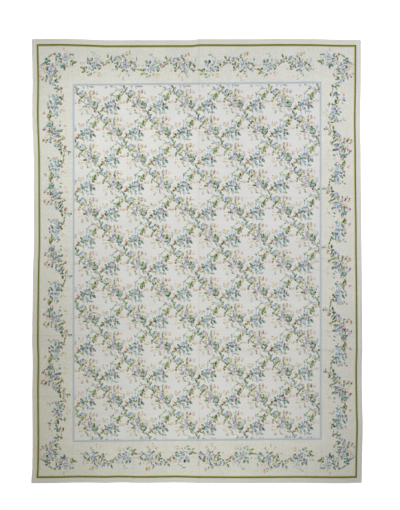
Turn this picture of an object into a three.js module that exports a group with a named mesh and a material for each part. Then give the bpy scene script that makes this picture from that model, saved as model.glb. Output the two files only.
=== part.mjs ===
// Floral flat-woven rug in the aubusson manner, about 9 ft by 12 ft, laid out flat on a floor.
// Millimetres. +X runs across the width, +Y along the length, +Z up. The origin is under the
// middle of the rug, on the floor.
import * as THREE from 'three';

// Cut size and cloth
const WIDTH = 2740;
const LENGTH = 3700;
const THICKNESS = 4;
const CORNER_PULL = 4; // how far a worn corner is drawn in, along X and along Y

// Turned hem along all four edges: a fuller roll, then the hollow that its sewing pulls down
const HEM_ROLL = 14;
const HEM_WIDTH = 37;
const HEM_RISE = 0.9;
const SEWING_DIP = 0.4;

// Section of the edge, below the top face: how far in from the outline, and at what share of the
// cloth's height, each ring of points lies. The last ring lies on the floor.
const EDGE_ROUND = 1.6;
const EDGE_SECTION = [
  { inset: 0, heightShare: 0.62 },
  { inset: 0, heightShare: 0.3 },
  { inset: 1, heightShare: 0 },
];

// The edges aren't straight: each wavers by a few millimetres, and the cloth next to it follows
const EDGE_REACH = 420;

// at: place along the edge from its middle. out: how far the edge lies outside its straight line.
const LEFT_EDGE = [
  { at: -1850, out: 12 },
  { at: -1700, out: 3 },
  { at: -1500, out: 1 },
  { at: -1080, out: 4 },
  { at: -830, out: 0 },
  { at: -660, out: 5 },
  { at: -160, out: 0 },
  { at: 170, out: -8 },
  { at: 840, out: -6 },
  { at: 1250, out: 6 },
  { at: 1500, out: 2 },
  { at: 1850, out: 9 },
];
const RIGHT_EDGE = [
  { at: -1850, out: 2 },
  { at: -1600, out: 6 },
  { at: -1400, out: 12 },
  { at: -1200, out: 6 },
  { at: -920, out: 3 },
  { at: -745, out: 8 },
  { at: -330, out: 6 },
  { at: 170, out: 1 },
  { at: 840, out: -5 },
  { at: 1170, out: -9 },
  { at: 1500, out: -4 },
  { at: 1850, out: -3 },
];
const FAR_EDGE = [
  { at: -1370, out: 1 },
  { at: -1140, out: 4 },
  { at: -960, out: 0 },
  { at: -780, out: -8 },
  { at: -60, out: -7 },
  { at: 30, out: 1 },
  { at: 360, out: 0 },
  { at: 700, out: 3 },
  { at: 1030, out: 1 },
  { at: 1200, out: -5 },
  { at: 1370, out: -4 },
];
const NEAR_EDGE = [
  { at: -1370, out: 3 },
  { at: -1140, out: 2 },
  { at: -960, out: -3 },
  { at: -800, out: 1 },
  { at: -640, out: -3 },
  { at: -470, out: 1 },
  { at: -140, out: -3 },
  { at: 30, out: 2 },
  { at: 360, out: 4 },
  { at: 860, out: 1 },
  { at: 1195, out: 4 },
  { at: 1370, out: 0 },
];

// Soft ridges left from storing the rug folded. A ridge along the rug keeps one X, one across it
// keeps one Y, and from and to are its ends in the other direction.
const RIDGES_ALONG = [
  { at: 16, from: -1850, to: 1850, rise: 1.5, width: 90 },
  { at: -530, from: -1850, to: -1250, rise: 0.9, width: 80 },
];
const RIDGES_ACROSS = [
  { at: 529, from: 100, to: 1370, rise: 0.8, width: 90 },
  { at: 21, from: 500, to: 1370, rise: 0.7, width: 90 },
  { at: -621, from: -1370, to: -700, rise: 1.1, width: 80 },
  { at: -738, from: -300, to: 1370, rise: 1.7, width: 90 },
  { at: -1130, from: -1370, to: -500, rise: 1.0, width: 90 },
];
const RIDGE_FADE = 220; // a ridge that ends inside the rug dies away over this length
const RIDGE_LINES = [-0.5, -0.25, 0, 0.25, 0.5]; // mesh lines on a ridge, in shares of its width

// Mesh lines across the top face, and the plain rectangle in the middle of the flat underside
const LINE_PITCH = 118;
const LINE_GAP = 26;
const UNDER_HALF_WIDTH = 700;
const UNDER_HALF_LENGTH = 1100;

const RUG_COLOUR = 0xcecdc6;
const WOOL_ROUGHNESS = 0.95;

const halfWidth = WIDTH / 2;
const halfLength = LENGTH / 2;
const { smoothstep, lerp } = THREE.MathUtils;

function waver(rows, at) {
  const next = Math.max(1, rows.findIndex((row) => row.at >= at));
  const low = rows[next - 1];
  const high = rows[next];
  return lerp(low.out, high.out, smoothstep(at, low.at, high.at));
}

// Where a point of the straight-edged pattern lies on the real rug
function settle(x, y) {
  const near = (distance) => 1 - smoothstep(distance, 0, EDGE_REACH);
  const shiftX = near(halfWidth - x) * waver(RIGHT_EDGE, y) - near(halfWidth + x) * waver(LEFT_EDGE, y);
  const shiftY = near(halfLength - y) * waver(FAR_EDGE, x) - near(halfLength + y) * waver(NEAR_EDGE, x);
  return [x + shiftX, y + shiftY];
}

// Height that one ridge adds at a distance from its line, at a place along it
function ridgeHeight(ridge, across, along, halfExtent) {
  const distance = Math.abs(across - ridge.at) / (ridge.width / 2);
  if (distance >= 1) return 0;
  const startsInside = ridge.from > -halfExtent;
  const endsInside = ridge.to < halfExtent;
  const start = startsInside ? smoothstep(along, ridge.from, ridge.from + RIDGE_FADE) : 1;
  const end = endsInside ? 1 - smoothstep(along, ridge.to - RIDGE_FADE, ridge.to) : 1;
  return ridge.rise * start * end * 0.5 * (1 + Math.cos(Math.PI * distance));
}

function topHeight(x, y) {
  const inFromEdge = Math.min(halfWidth - Math.abs(x), halfLength - Math.abs(y));
  const roll = HEM_RISE * (1 - smoothstep(inFromEdge, HEM_ROLL / 2, HEM_ROLL));
  const beside = (inFromEdge - HEM_ROLL) / (HEM_WIDTH - HEM_ROLL);
  const dip = beside >= 0 && beside < 1 ? SEWING_DIP * (1 - beside) : 0;
  let height = THICKNESS + roll - dip;
  for (const ridge of RIDGES_ALONG) {
    height += ridgeHeight(ridge, x, y, halfLength);
  }
  for (const ridge of RIDGES_ACROSS) {
    height += ridgeHeight(ridge, y, x, halfWidth);
  }
  return height;
}

// Mesh lines in one direction: the hem's, each ridge's foot, crest and foot, and even ones between
function meshLines(half, ridges) {
  const fixed = [];
  for (const inset of [0, HEM_ROLL / 2, HEM_ROLL, HEM_WIDTH]) {
    fixed.push(-half + inset, half - inset);
  }
  for (const ridge of ridges) {
    fixed.push(...RIDGE_LINES.map((share) => ridge.at + share * ridge.width));
  }
  const count = Math.round((2 * half) / LINE_PITCH);
  const even = Array.from({ length: count + 1 }, (_, i) => -half + (2 * half * i) / count);
  const spare = even.filter((line) => fixed.every((other) => Math.abs(line - other) > LINE_GAP));
  return [...fixed, ...spare].sort((a, b) => a - b);
}

// The grid's outer points in order, counter-clockwise seen from above
function rimOf(columns, rows) {
  const lastColumn = columns.length - 1;
  const lastRow = rows.length - 1;
  const nearSide = columns.slice(0, lastColumn).map((_, i) => [i, 0]);
  const rightSide = rows.slice(0, lastRow).map((_, j) => [lastColumn, j]);
  const farSide = columns.slice(0, lastColumn).map((_, i) => [lastColumn - i, lastRow]);
  const leftSide = rows.slice(0, lastRow).map((_, j) => [0, lastRow - j]);
  return [...nearSide, ...rightSide, ...farSide, ...leftSide];
}

function rugGeometry() {
  const columns = meshLines(halfWidth, RIDGES_ALONG);
  const rows = meshLines(halfLength, RIDGES_ACROSS);
  const points = [];
  const triangles = [];
  const gridIndex = (i, j) => j * columns.length + i;

  // A point of the outline, moved in from it by inset, at a height
  const placeRim = (x, y, inset, z) => {
    const [realX, realY] = settle(x, y);
    const onSide = Math.abs(x) === halfWidth;
    const onEnd = Math.abs(y) === halfLength;
    const pull = onSide && onEnd ? CORNER_PULL : 0;
    const inX = onSide ? inset + pull : 0;
    const inY = onEnd ? inset + pull : 0;
    return [realX - Math.sign(x) * inX, realY - Math.sign(y) * inY, z];
  };

  for (const y of rows) {
    for (const x of columns) {
      const onRim = Math.abs(x) === halfWidth || Math.abs(y) === halfLength;
      const height = topHeight(x, y);
      points.push(onRim ? placeRim(x, y, EDGE_ROUND, height) : [...settle(x, y), height]);
    }
  }
  for (let j = 0; j < rows.length - 1; j += 1) {
    for (let i = 0; i < columns.length - 1; i += 1) {
      const nearLeft = gridIndex(i, j);
      const nearRight = gridIndex(i + 1, j);
      const farLeft = gridIndex(i, j + 1);
      const farRight = gridIndex(i + 1, j + 1);
      triangles.push(nearLeft, nearRight, farRight, nearLeft, farRight, farLeft);
    }
  }

  // The edge rolls over from the top face through its widest point to the floor
  const rim = rimOf(columns, rows);
  const rings = [rim.map(([i, j]) => gridIndex(i, j))];
  for (const { inset, heightShare } of EDGE_SECTION) {
    const first = points.length;
    for (const [i, j] of rim) {
      const height = topHeight(columns[i], rows[j]) * heightShare;
      points.push(placeRim(columns[i], rows[j], inset, height));
    }
    rings.push(rim.map((_, k) => first + k));
  }
  for (let r = 0; r < rings.length - 1; r += 1) {
    for (let k = 0; k < rim.length; k += 1) {
      const next = (k + 1) % rim.length;
      const upper = rings[r][k];
      const upperNext = rings[r][next];
      const lower = rings[r + 1][k];
      const lowerNext = rings[r + 1][next];
      triangles.push(upper, lower, lowerNext, upper, lowerNext, upperNext);
    }
  }

  // Flat underside: a rectangle in the middle, joined to the lowest ring corner by corner
  const middle = points.length;
  for (const [sideX, sideY] of [[-1, -1], [1, -1], [1, 1], [-1, 1]]) {
    points.push([sideX * UNDER_HALF_WIDTH, sideY * UNDER_HALF_LENGTH, 0]);
  }
  triangles.push(middle, middle + 2, middle + 1, middle, middle + 3, middle + 2);
  const lowest = rings[rings.length - 1];
  const cornerFor = ([x, y]) => {
    if (y < 0) return middle + (x < 0 ? 0 : 1);
    return middle + (x < 0 ? 3 : 2);
  };
  for (let k = 0; k < lowest.length; k += 1) {
    const a = lowest[k];
    const b = lowest[(k + 1) % lowest.length];
    const cornerA = cornerFor(points[a]);
    const cornerB = cornerFor(points[b]);
    triangles.push(a, cornerA, b);
    if (cornerA !== cornerB) {
      triangles.push(b, cornerA, cornerB);
    }
  }

  const geometry = new THREE.BufferGeometry();
  geometry.setAttribute('position', new THREE.Float32BufferAttribute(points.flat(), 3));
  geometry.setIndex(triangles);
  geometry.computeVertexNormals();
  return geometry;
}

const wool = new THREE.MeshStandardMaterial({
  color: RUG_COLOUR,
  roughness: WOOL_ROUGHNESS,
  metalness: 0,
});

const rug = new THREE.Mesh(rugGeometry(), wool);
rug.name = 'rug';

const model = new THREE.Group();
model.add(rug);

export default model;
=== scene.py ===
import math
import bpy
import numpy as np
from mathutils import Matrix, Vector, noise


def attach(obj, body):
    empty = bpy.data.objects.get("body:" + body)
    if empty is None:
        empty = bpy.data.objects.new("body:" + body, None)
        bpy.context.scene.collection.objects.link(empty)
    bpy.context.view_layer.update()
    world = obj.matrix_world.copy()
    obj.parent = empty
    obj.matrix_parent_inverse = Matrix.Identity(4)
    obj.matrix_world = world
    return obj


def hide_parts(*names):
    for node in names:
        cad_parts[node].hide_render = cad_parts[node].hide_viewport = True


# A floral flat-woven rug in the aubusson manner, lying on a pale floor and seen from above.
# Lengths are in metres, but the flower charts are in millimetres.

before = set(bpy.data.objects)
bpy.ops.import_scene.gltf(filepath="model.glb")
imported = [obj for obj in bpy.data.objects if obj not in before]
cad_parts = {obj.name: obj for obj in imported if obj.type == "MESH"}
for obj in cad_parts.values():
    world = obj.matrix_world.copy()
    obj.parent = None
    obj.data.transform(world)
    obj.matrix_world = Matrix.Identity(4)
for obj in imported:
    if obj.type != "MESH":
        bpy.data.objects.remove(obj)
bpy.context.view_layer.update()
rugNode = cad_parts["rug"]


# Small helpers

def smooth(low, high, value):
    t = min(1.0, max(0.0, (value - low) / (high - low)))
    return t * t * (3 - 2 * t)


def yarn(red, green, blue):
    # a colour as read off a screen, 0 to 255, turned into the renderer's linear one
    def linear(part):
        share = part / 255
        return share / 12.92 if share <= 0.04045 else ((share + 0.055) / 1.055) ** 2.4
    return (linear(red), linear(green), linear(blue), 1.0)


def addObject(name, data):
    made = bpy.data.objects.new(name, data)
    bpy.context.scene.collection.objects.link(made)
    return made


def addNode(tree, kind, inputs=None, **settings):
    # each input is linked where it is another node's socket, and else set to its value
    made = tree.nodes.new(kind)
    for name, value in settings.items():
        setattr(made, name, value)
    for socket, value in (inputs or {}).items():
        if isinstance(value, bpy.types.NodeSocket):
            tree.links.new(value, made.inputs[socket])
        else:
            made.inputs[socket].default_value = value
    return made


def maths(tree, operation, *values):
    return addNode(tree, "ShaderNodeMath", dict(enumerate(values)), operation=operation).outputs[0]


def vectorMaths(tree, operation, *values):
    made = addNode(tree, "ShaderNodeVectorMath", dict(enumerate(values)), operation=operation)
    return made.outputs["Value" if operation in ("DOT_PRODUCT", "LENGTH") else "Vector"]


def splitVector(tree, vector):
    return addNode(tree, "ShaderNodeSeparateXYZ", {0: vector}).outputs


def joinVector(tree, x, y, z):
    return addNode(tree, "ShaderNodeCombineXYZ", {0: x, 1: y, 2: z}).outputs[0]


def softNoise(tree, place, scale, detail):
    return addNode(tree, "ShaderNodeTexNoise", {"Vector": place, "Scale": scale, "Detail": detail},
                   noise_dimensions="2D").outputs


def spotNoise(tree, place):
    spots = addNode(tree, "ShaderNodeTexWhiteNoise", {"Vector": place}, noise_dimensions="2D")
    return spots.outputs["Value"]


def vary(tree, base, random, span):
    # base, more or less by up to half the span, as random goes from 0 to 1
    return maths(tree, "MULTIPLY_ADD", maths(tree, "SUBTRACT", random, 0.5), span, base)


def ramp(tree, value, start, stop, low, high):
    # goes smoothly from low to high while value goes from start to stop
    return addNode(tree, "ShaderNodeMapRange", {"Value": value, "From Min": start, "From Max": stop,
                                                "To Min": low, "To Max": high},
                   interpolation_type="SMOOTHSTEP").outputs["Result"]


def mixColour(tree, share, under, over, blend="MIX"):
    return addNode(tree, "ShaderNodeMix", {0: share, 6: under, 7: over},
                   data_type="RGBA", blend_type=blend).outputs[2]


def shadeColour(tree, colour, shade):
    return addNode(tree, "ShaderNodeVectorMath", {0: colour, "Scale": shade},
                   operation="SCALE").outputs["Vector"]


def startGroup(name, inputs, outputs):
    tree = bpy.data.node_groups.new(name, "ShaderNodeTree")
    for direction, sockets in (("INPUT", inputs), ("OUTPUT", outputs)):
        for label, kind in sockets.items():
            tree.interface.new_socket(name=label, in_out=direction, socket_type="NodeSocket" + kind)
    return tree, tree.nodes.new("NodeGroupInput").outputs


def endGroup(tree, **results):
    addNode(tree, "NodeGroupOutput", results)
    return tree


def useGroup(tree, group, **inputs):
    return addNode(tree, "ShaderNodeGroup", inputs, node_tree=group).outputs


def startMaterial(name):
    material = bpy.data.materials.new(name)
    material.use_nodes = True
    tree = material.node_tree
    tree.nodes.clear()
    return material, tree


def endMaterial(tree, shader):
    addNode(tree, "ShaderNodeOutputMaterial", {"Surface": shader.outputs[0]})


# Rug: the cloth itself

rug = {
    "width": 2.740,
    "length": 3.700,
    "thickness": 0.0040,
    "edgeRound": 0.0020,        # radius of the turned edge, seen from above
    "edgeTurn": (38, 10, -20, -50, -90),    # its rings of points, in degrees up from the widest
    "cornerPull": 0.004,        # how far a worn corner is drawn in
    "hemRoll": 0.014,           # width of the turned edge, which is fuller
    "hemCrest": 0.4,            # share of that width which has the full rise
    "hemRise": 0.0009,
    "sewingDip": 0.0005,        # hollow along the hem's sewing
    "hemWidth": 0.037,
    "stripeEnd": 0.057,         # from the edge to the inside of the olive stripe
    "farStripe": 0.063,         # the same on the far and near borders
    "nearStripe": 0.061,
    "sideBorder": 0.341,        # from the edge to the middle of the blue line
    "farBorder": 0.373,
    "nearBorder": 0.359,
    "borderEnd": 0.349,         # where the field's own weave starts
    "cornerReach": 0.394,       # how far the corner sprays reach along the far and near borders
    "cornerDrop": 0.418,        # and along the side borders
    "joinEnd": 0.690,           # where the join to a side garland stops
    "edgeReach": 0.42,          # how far in the cloth follows a wavering edge
    "skew": 0.0095,             # the wefts climb this much to the right
    "cell": 0.0142,             # mesh size
    "undulation": 0.00035,      # slow unevenness of the surface
    "waves": [(3.1, 2.7, 4.0, 1.0), (9.0, 8.0, 9.0, 0.5)],  # its pace in x and y, seed and share
    "underMiddle": (0.5, 0.6),  # plain middle of the underside, in shares of the half sizes
}

# Folds left from storing it. at is the fold's line, start and stop are its ends in the other
# direction, and rise is its height.
foldsAlong = [
    {"at": 0.016, "start": -1.85, "stop": 1.85, "rise": 0.0015},
    {"at": -0.530, "start": -1.85, "stop": -1.25, "rise": 0.0009},
]
foldsAcross = [
    {"at": 0.529, "start": 0.10, "stop": 1.37, "rise": 0.0008},
    {"at": 0.021, "start": 0.50, "stop": 1.37, "rise": 0.0007},
    {"at": -0.621, "start": -1.37, "stop": -0.70, "rise": 0.0011},
    {"at": -0.738, "start": -0.30, "stop": 1.37, "rise": 0.0017},
    {"at": -1.130, "start": -1.37, "stop": -0.50, "rise": 0.0010},
]
foldLook = {
    "foot": 0.056,              # width of a fold at its foot
    "fade": 0.22,               # one that ends inside the rug dies away over this length
    "cell": 0.006,              # mesh size on a fold
    "cellReach": 0.75,          # how far to each side of its line, in shares of the foot
    "foldShadeReach": 0.012,         # half the width of the painted shade line on its crest
    # how much the painted shade darkens that line
    "foldShadeTint": (0.935, 0.935, 0.94),
}

halfWidth = rug["width"] / 2
halfLength = rug["length"] / 2

# The pattern is charted on a rug whose four borders are alike; its length in that chart differs a
# little from the woven one, because the weaver beat the far and near borders to other depths.
fieldMiddle = (rug["nearBorder"] - rug["farBorder"]) / 2
fieldHalf = halfLength - (rug["nearBorder"] + rug["farBorder"]) / 2
chartHalf = fieldHalf + rug["sideBorder"]
chartRows = [-chartHalf, -chartHalf + rug["stripeEnd"], -fieldHalf,
             fieldHalf, chartHalf - rug["stripeEnd"], chartHalf]
wovenRows = [-halfLength, -halfLength + rug["nearStripe"], fieldMiddle - fieldHalf,
             fieldMiddle + fieldHalf, halfLength - rug["farStripe"], halfLength]

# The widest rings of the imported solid's edge lie between these shares of its thickness
widestRings = (0.2, 0.85)


def readEdges(node):
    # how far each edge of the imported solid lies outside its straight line, as places and outs
    low, high = (rug["thickness"] * share for share in widestRings)
    edges = {"left": {}, "right": {}, "far": {}, "near": {}}
    for p in (v.co for v in node.data.vertices):
        if not low < p.z < high:
            continue
        sideGap = halfWidth - abs(p.x)
        endGap = halfLength - abs(p.y)
        if sideGap < endGap:
            edges["right" if p.x > 0 else "left"][round(p.y, 3)] = abs(p.x) - halfWidth
        else:
            edges["far" if p.y > 0 else "near"][round(p.x, 3)] = abs(p.y) - halfLength
    return {side: (sorted(found), [found[k] for k in sorted(found)]) for side, found in edges.items()}


rugEdges = readEdges(rugNode)


def edgeShift(side, place, distance):
    # how far the cloth moves with a wavering edge, at a distance in from it
    out = float(np.interp(place, *rugEdges[side]))
    return (1 - smooth(0, rug["edgeReach"], distance)) * out


def settle(x, y):
    # from the chart's place to the woven one
    realY = float(np.interp(y, chartRows, wovenRows))
    inField = smooth(rug["stripeEnd"], rug["sideBorder"], halfLength - abs(realY))
    shiftX = edgeShift("right", realY, halfWidth - x) - edgeShift("left", realY, halfWidth + x)
    shiftY = edgeShift("far", x, halfLength - realY) - edgeShift("near", x, halfLength + realY)
    return x + shiftX, realY + shiftY + rug["skew"] * x * inField


def foldHeight(fold, across, along, halfExtent):
    distance = abs(across - fold["at"]) / (foldLook["foot"] / 2)
    if distance >= 1:
        return 0.0
    start = 1.0
    stop = 1.0
    if fold["start"] > -halfExtent:
        start = smooth(fold["start"], fold["start"] + foldLook["fade"], along)
    if fold["stop"] < halfExtent:
        stop = 1 - smooth(fold["stop"] - foldLook["fade"], fold["stop"], along)
    return fold["rise"] * start * stop * 0.5 * (1 + math.cos(math.pi * distance))


def topHeight(x, y):
    # x and y are woven places
    fromEdge = max(0.0, min(halfWidth - abs(x), halfLength - abs(y)))
    roll = rug["hemRise"] * (1 - smooth(rug["hemRoll"] * rug["hemCrest"], rug["hemRoll"], fromEdge))
    beside = (fromEdge - rug["hemRoll"]) / (rug["hemWidth"] - rug["hemRoll"])
    dip = rug["sewingDip"] * (1 - beside) if 0 <= beside < 1 else 0.0
    slow = 0.0
    for paceX, paceY, seed, share in rug["waves"]:
        slow += share * noise.noise(Vector((x * paceX, y * paceY, seed)))
    height = rug["thickness"] + roll - dip + rug["undulation"] * slow
    for fold in foldsAlong:
        height += foldHeight(fold, x, y, halfLength)
    for fold in foldsAcross:
        height += foldHeight(fold, y, x, halfWidth)
    return height


def gridLines(half, folds):
    # mesh lines in one direction: closer on the turned edge and on the folds, and one wherever
    # one weave can give way to another
    fromEdge = [rug["hemRoll"] * share for share in (0, 0.25, 0.5, 0.75, 1, 1.4)]
    fromEdge += [rug[mark] for mark in ("hemWidth", "borderEnd", "cornerReach", "cornerDrop", "joinEnd")]
    marks = sorted([-half + d for d in fromEdge] + [half - d for d in fromEdge])
    fineReach = foldLook["foot"] * foldLook["cellReach"]
    lines = []
    for low, high in zip(marks, marks[1:]):
        count = max(1, math.ceil((high - low) / rug["cell"]))
        step = (high - low) / count
        for k in range(count):
            start = low + (high - low) * k / count
            onFold = any(abs(start + step / 2 - fold["at"]) < fineReach for fold in folds)
            parts = math.ceil(step / foldLook["cell"]) if onFold else 1
            lines += [start + step * part / parts for part in range(parts)]
    return lines + [marks[-1]]


# Weaves in the order of the rug's material slots
weaves = ["field", "end", "side", "join", "corner", "back"]

# The repeats aren't even: (along, how much further the garland has got, how much nearer the edge it
# lies), in metres
garlandDrift = {
    "end": [(0.40, 0.008, 0.028), (0.52, 0.006, 0.026), (0.60, 0.000, 0.015), (0.72, 0.000, 0.010),
            (0.96, 0.000, 0.010), (1.08, -0.005, 0.002), (1.20, -0.010, -0.003), (1.44, -0.012, 0.005),
            (1.56, -0.020, -0.002), (1.80, -0.020, -0.003), (1.92, -0.017, 0.008), (2.04, -0.016, 0.011),
            (2.16, -0.012, 0.002), (2.28, -0.010, -0.003)],
    "side": [(0.69, -0.020, 0.014), (0.84, -0.019, 0.018), (0.95, -0.025, 0.003), (1.09, -0.026, -0.006),
             (1.17, -0.020, -0.004), (1.28, 0.004, -0.002), (1.44, 0.006, 0.000), (1.62, 0.006, 0.000),
             (1.77, 0.021, -0.004), (1.89, 0.019, -0.004), (2.01, 0.004, -0.004), (2.13, 0.002, 0.002),
             (2.25, 0.008, 0.006), (2.37, 0.011, 0.003), (2.49, -0.002, -0.004), (2.61, -0.005, 0.000),
             (2.73, 0.004, 0.010), (2.85, 0.007, 0.008), (2.97, -0.002, -0.002), (3.09, -0.007, 0.002),
             (3.21, -0.018, 0.006)],
    "join": [(0.39, -0.010, 0.000), (0.69, -0.010, 0.000)],
}


def drift(kind, along):
    places, ahead, out = zip(*garlandDrift[kind])
    return float(np.interp(along, places, ahead)), float(np.interp(along, places, out))


def edgeGaps(x, y):
    # how far a place of the chart lies from the left, right, far and near edges
    return x + halfWidth, halfWidth - x, chartHalf - y, y + chartHalf


def whereIs(x, y):
    # which weave a place of the chart has
    left, right, far, near = edgeGaps(x, y)
    fromSide, fromEnd = min(left, right), min(far, near)
    if min(fromSide, fromEnd) >= rug["borderEnd"]:
        return "field"
    if fromSide < rug["cornerReach"] and fromEnd < rug["cornerDrop"]:
        return "corner"
    if fromEnd < rug["borderEnd"]:
        return "end"
    # a garland starts at the corner that it follows clockwise, the right one at the far end
    along = far if right < left else near
    return "join" if along < rug["joinEnd"] else "side"


def borderPlace(kind, middle, x, y):
    # (along the border, in from the edge) of a face's corner, on the border of the face's middle
    left, right, far, near = edgeGaps(x, y)
    if kind == "corner":
        return (left if middle[0] < 0 else right), (near if middle[1] < 0 else far)
    if kind == "end":
        along, depth = (left, far) if middle[1] > 0 else (right, near)
    else:
        along, depth = (far, right) if middle[0] > 0 else (near, left)
    ahead, out = drift(kind, along)
    return along + ahead, depth + out


# Part of the bake map that each surface takes, from its foot to its top. A margin stays free at
# both sides, and the rim's four sides lie one above the other, each in the middle of its strip.
bakeRows = {"back": (0.004, 0.050), "rim": (0.056, 0.074), "top": (0.080, 0.998)}
bakeMargin = 0.002
stripFill = 0.8


def bakeAcross(share):
    return bakeMargin + (1 - 2 * bakeMargin) * share


def bakeAt(chart, part):
    foot, top = bakeRows[part]
    up = (chart[1] + chartHalf) / (2 * chartHalf)
    return bakeAcross((chart[0] + halfWidth) / rug["width"]), foot + up * (top - foot)


def placeRim(x, y, inset, z):
    # a point of the outline, moved in from it
    realX, realY = settle(x, y)
    onSide = math.isclose(abs(x), halfWidth)
    onEnd = math.isclose(abs(y), chartHalf)
    pull = rug["cornerPull"] if onSide and onEnd else 0.0
    if onSide:
        realX -= math.copysign(inset + pull, x)
    if onEnd:
        realY -= math.copysign(inset + pull, y)
    return (realX, realY, z)


def makeRugMesh():
    columns = gridLines(halfWidth, foldsAlong)
    rows = gridLines(chartHalf, foldsAcross)
    wide, high = len(columns), len(rows)
    points = []
    faces = []
    slots = []
    maps = {"weave": [], "border": [], "OFBake": []}    # one (x, y) for each face corner

    def addFace(corners, charts, bakes, kind=None):
        middle = [sum(places) / len(charts) for places in zip(*charts)]
        kind = kind or whereIs(*middle)
        faces.append(corners)
        slots.append(weaves.index(kind))
        maps["weave"].extend(charts)
        if kind in ("field", "back"):
            maps["border"].extend([(0.0, 0.0)] * len(corners))
        else:
            maps["border"].extend(borderPlace(kind, middle, *chart) for chart in charts)
        maps["OFBake"].extend(bakes)

    # top face
    for y in rows:
        for x in columns:
            realX, realY = settle(x, y)
            z = topHeight(realX, realY)
            atRim = x in (columns[0], columns[-1]) or y in (rows[0], rows[-1])
            points.append(placeRim(x, y, rug["edgeRound"], z) if atRim else (realX, realY, z))
    for j in range(high - 1):
        for i in range(wide - 1):
            cell = [(i, j), (i + 1, j), (i + 1, j + 1), (i, j + 1)]
            charts = [(columns[a], rows[b]) for a, b in cell]
            addFace([b * wide + a for a, b in cell], charts, [bakeAt(chart, "top") for chart in charts])

    # the edge, rolled over from the top face to the floor in rings
    rim = [(i, 0) for i in range(wide - 1)] + [(wide - 1, j) for j in range(high - 1)]
    rim += [(i, high - 1) for i in range(wide - 1, 0, -1)] + [(0, j) for j in range(high - 1, 0, -1)]
    rings = [[j * wide + i for i, j in rim]]
    for angle in rug["edgeTurn"]:
        turn = math.radians(angle)
        inset = rug["edgeRound"] * (1 - math.cos(turn))
        rings.append([])
        for i, j in rim:
            topZ = points[j * wide + i][2]
            rings[-1].append(len(points))
            points.append(placeRim(columns[i], rows[j], inset, topZ * 0.5 * (1 + math.sin(turn))))
    sideOfRim = [0] * (wide - 1) + [1] * (high - 1) + [2] * (wide - 1) + [3] * (high - 1)
    foot, top = bakeRows["rim"]
    strip = (top - foot) / 4
    rise = strip * stripFill / len(rug["edgeTurn"])
    for level, (upper, lower) in enumerate(zip(rings, rings[1:])):
        for k in range(len(rim)):
            after = (k + 1) % len(rim)
            charts = [(columns[i], rows[j]) for i, j in (rim[k], rim[k], rim[after], rim[after])]
            across = [bakeAcross((x + y + halfWidth + chartHalf) / (2 * (halfWidth + chartHalf)))
                      for x, y in charts]
            base = foot + strip * (sideOfRim[k] + (1 - stripFill) / 2)
            up = [base + rise * step for step in (level, level + 1, level + 1, level)]
            addFace([upper[k], lower[k], lower[after], upper[after]], charts, list(zip(across, up)))

    # flat underside: a rectangle in the middle, joined to the lowest ring
    middle = len(points)
    shareX, shareY = rug["underMiddle"]
    for sideX, sideY in ((-1, -1), (1, -1), (1, 1), (-1, 1)):
        points.append((sideX * halfWidth * shareX, sideY * halfLength * shareY, 0.0))

    def nearestInner(point):
        if point[1] < 0:
            return middle + (0 if point[0] < 0 else 1)
        return middle + (3 if point[0] < 0 else 2)

    def addBack(corners):
        charts = [(points[c][0], points[c][1] * chartHalf / halfLength) for c in corners]
        addFace(corners, charts, [bakeAt(chart, "back") for chart in charts], "back")

    addBack([middle, middle + 3, middle + 2, middle + 1])
    lowest = rings[-1]
    for a, b in zip(lowest, lowest[1:] + lowest[:1]):
        innerA, innerB = nearestInner(points[a]), nearestInner(points[b])
        addBack([a, innerA, b])
        if innerA != innerB:
            addBack([b, innerA, innerB])

    mesh = bpy.data.meshes.new("rugCloth")
    mesh.from_pydata(points, [], faces)
    mesh.polygons.foreach_set("material_index", slots)
    mesh.polygons.foreach_set("use_smooth", [True] * len(faces))
    for name, places in maps.items():
        layer = mesh.uv_layers.new(name=name)
        layer.data.foreach_set("uv", [value for place in places for value in place])
    mesh.update()
    print("rug mesh:", len(points), "points,", len(faces), "faces")
    return mesh


# Yarn colours

ivory = yarn(222, 223, 221)           # field ground
cream = yarn(219, 220, 211)           # border ground
hemCream = yarn(222, 221, 214)
hemShade = yarn(200, 199, 189)
stripeDark = yarn(110, 115, 28)
stripeLight = yarn(166, 166, 74)
lineBlue = yarn(179, 189, 200)
linePale = yarn(193, 201, 211)

# Bands woven along the border, by depth from the edge in millimetres, each over those before it:
# from each depth inwards, and then from each depth out to the edge
innerBands = [(333, lineBlue), (341, linePale), (349.5, ivory)]
outerBands = [(57, stripeLight), (51, stripeDark), (40, hemCream), (33, hemShade), (31, hemCream),
              (17.5, hemShade), (14.5, hemCream)]

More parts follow.
